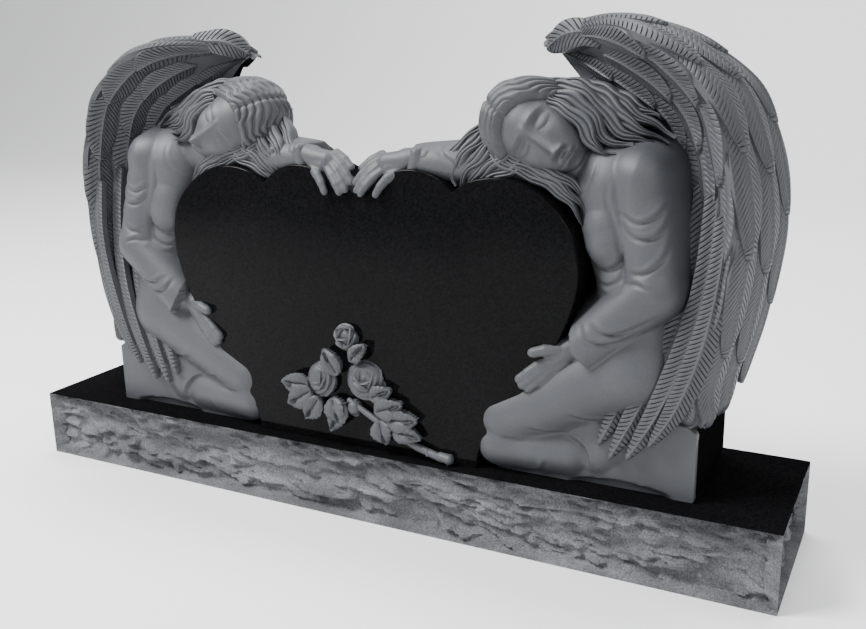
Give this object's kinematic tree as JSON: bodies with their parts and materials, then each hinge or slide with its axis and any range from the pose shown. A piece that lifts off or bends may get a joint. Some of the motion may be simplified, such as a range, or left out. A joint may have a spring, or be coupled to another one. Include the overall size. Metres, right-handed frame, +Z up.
{
  "type": "angel headstone",
  "caption": "Carved upright memorial tablet: kneeling winged angels lean over a double-heart panel with roses, on a rock-pitched base slab.",
  "frame": {"origin": "middle of the base slab's underside", "axes": "+Z up, +X along the base to the right of someone facing the carving, carved face towards -Y"},
  "size_m": [1.524, 0.302, 0.8927],
  "materials": {
    "base_slab": "grey granite, split faces all round, polished black top",
    "carved_tablet": "blue-grey granite, honed carving, polished black panel, sides and back"
  },
  "bodies": {
    "root": {"base_slab": "base_slab", "carved_tablet": "carved_tablet"}
  },
  "joints": []
}
